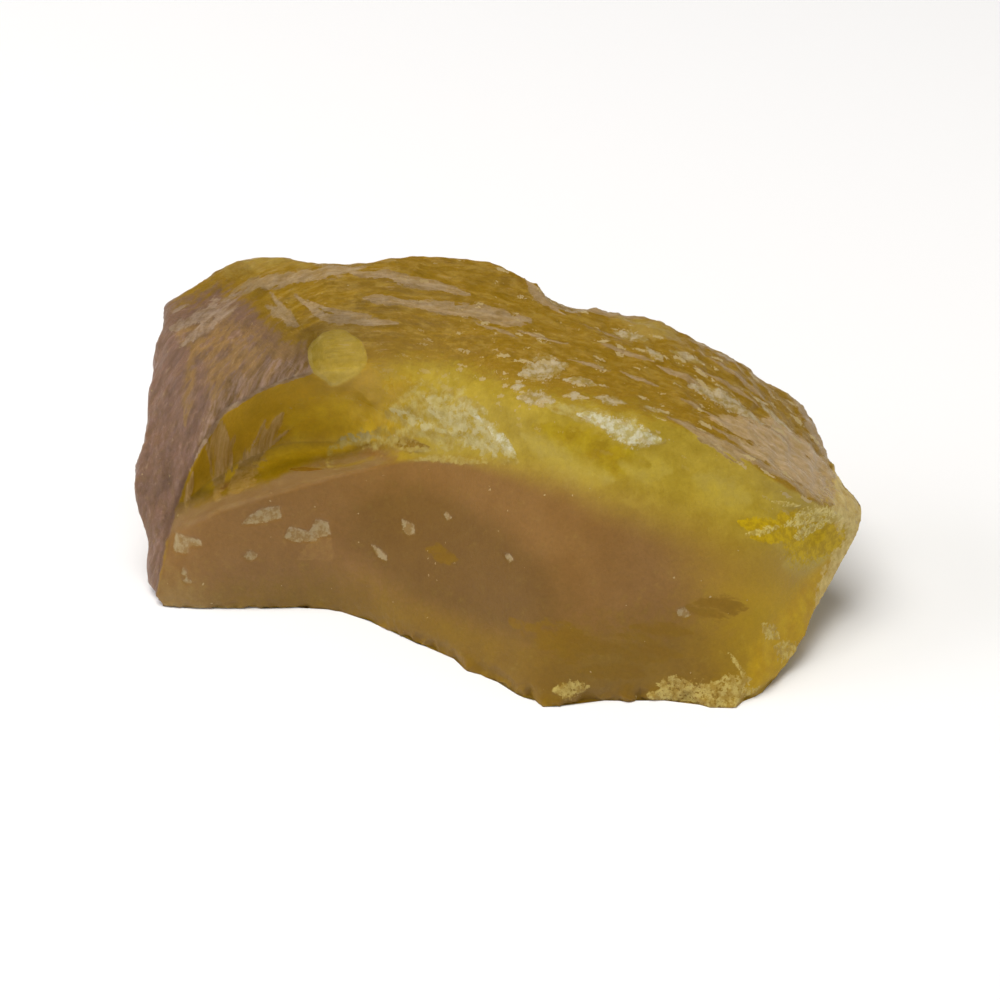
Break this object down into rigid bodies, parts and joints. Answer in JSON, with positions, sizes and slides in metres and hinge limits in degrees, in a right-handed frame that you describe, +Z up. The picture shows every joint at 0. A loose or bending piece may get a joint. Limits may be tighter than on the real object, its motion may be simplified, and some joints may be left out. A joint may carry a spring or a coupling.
{
  "type": "rough topaz",
  "caption": "Rough, broken lump of cloudy yellow topaz: a tall smooth front face, a scooped ledge and a ridged top, lying on a flat cleavage face; a display or collection stone",
  "frame": {"origin": "middle of the bounding box's bottom, on the flat underside", "axes": "+X along the stone's length towards its thin tip, -Y out of the tall front face, +Z up"},
  "size_m": [0.0666, 0.036, 0.0293],
  "materials": {
    "topaz": "freshly broken cloudy golden-yellow topaz: waxy to glassy sheen, pale crystalline crust in patches"
  },
  "bodies": {
    "root": {"topaz": "topaz"}
  },
  "joints": []
}
